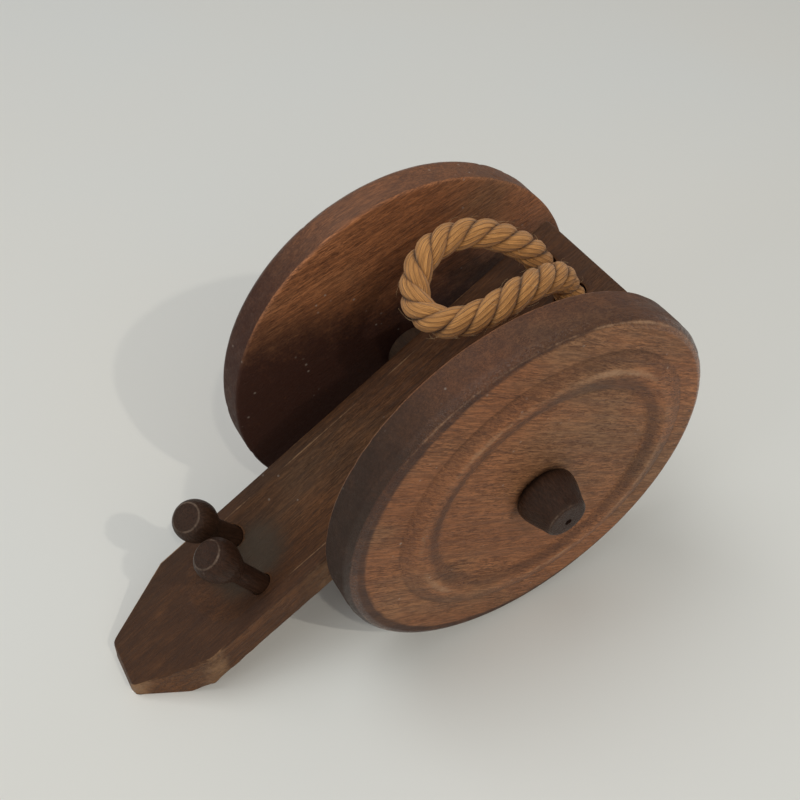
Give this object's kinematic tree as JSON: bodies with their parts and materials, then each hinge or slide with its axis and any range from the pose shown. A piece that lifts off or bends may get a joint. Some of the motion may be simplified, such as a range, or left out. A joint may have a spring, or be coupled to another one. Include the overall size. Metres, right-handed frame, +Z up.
{
  "type": "gun carriage bottle holder",
  "caption": "Sloping wooden plank on a round axle between two solid turned wheels, with bottle pegs near the tail and a rope loop for the bottle's neck.",
  "frame": {"origin": "on the floor at the middle of the bounding box's base", "axes": "+X forward from the tail to the rope end, +Y left along the axle, +Z up"},
  "size_m": [0.259, 0.1534, 0.178],
  "materials": {
    "plank_wood": "oiled, worn, dark brown with grime in the trough",
    "wheel_wood": "oiled mid-brown end and face grain, worn tread",
    "turned_wood": "dark stained and polished",
    "rope_fibre": "three-strand laid manila, rough",
    "steel": "dull, slightly rusty"
  },
  "bodies": {
    "carriage": {"trail_plank": "plank_wood", "axle_beam": "turned_wood", "left_hub_cap": "turned_wood", "right_hub_cap": "turned_wood", "left_cap_nail": "steel", "right_cap_nail": "steel", "left_peg": "turned_wood", "right_peg": "turned_wood", "rope_loop": "rope_fibre", "left_axle_screw": "steel", "right_axle_screw": "steel"},
    "left_wheel_body": {"left_wheel": "wheel_wood"},
    "right_wheel_body": {"right_wheel": "wheel_wood"}
  },
  "joints": [
    {"name": "left_wheel_spin", "type": "hinge", "parent": "carriage", "child": "left_wheel_body", "pos_m": [0.0405, 0.0495, 0.089], "axis": [0, 1, 0], "continuous": true},
    {"name": "right_wheel_spin", "type": "hinge", "parent": "carriage", "child": "right_wheel_body", "pos_m": [0.0405, -0.0495, 0.089], "axis": [0, 1, 0], "continuous": true}
  ]
}
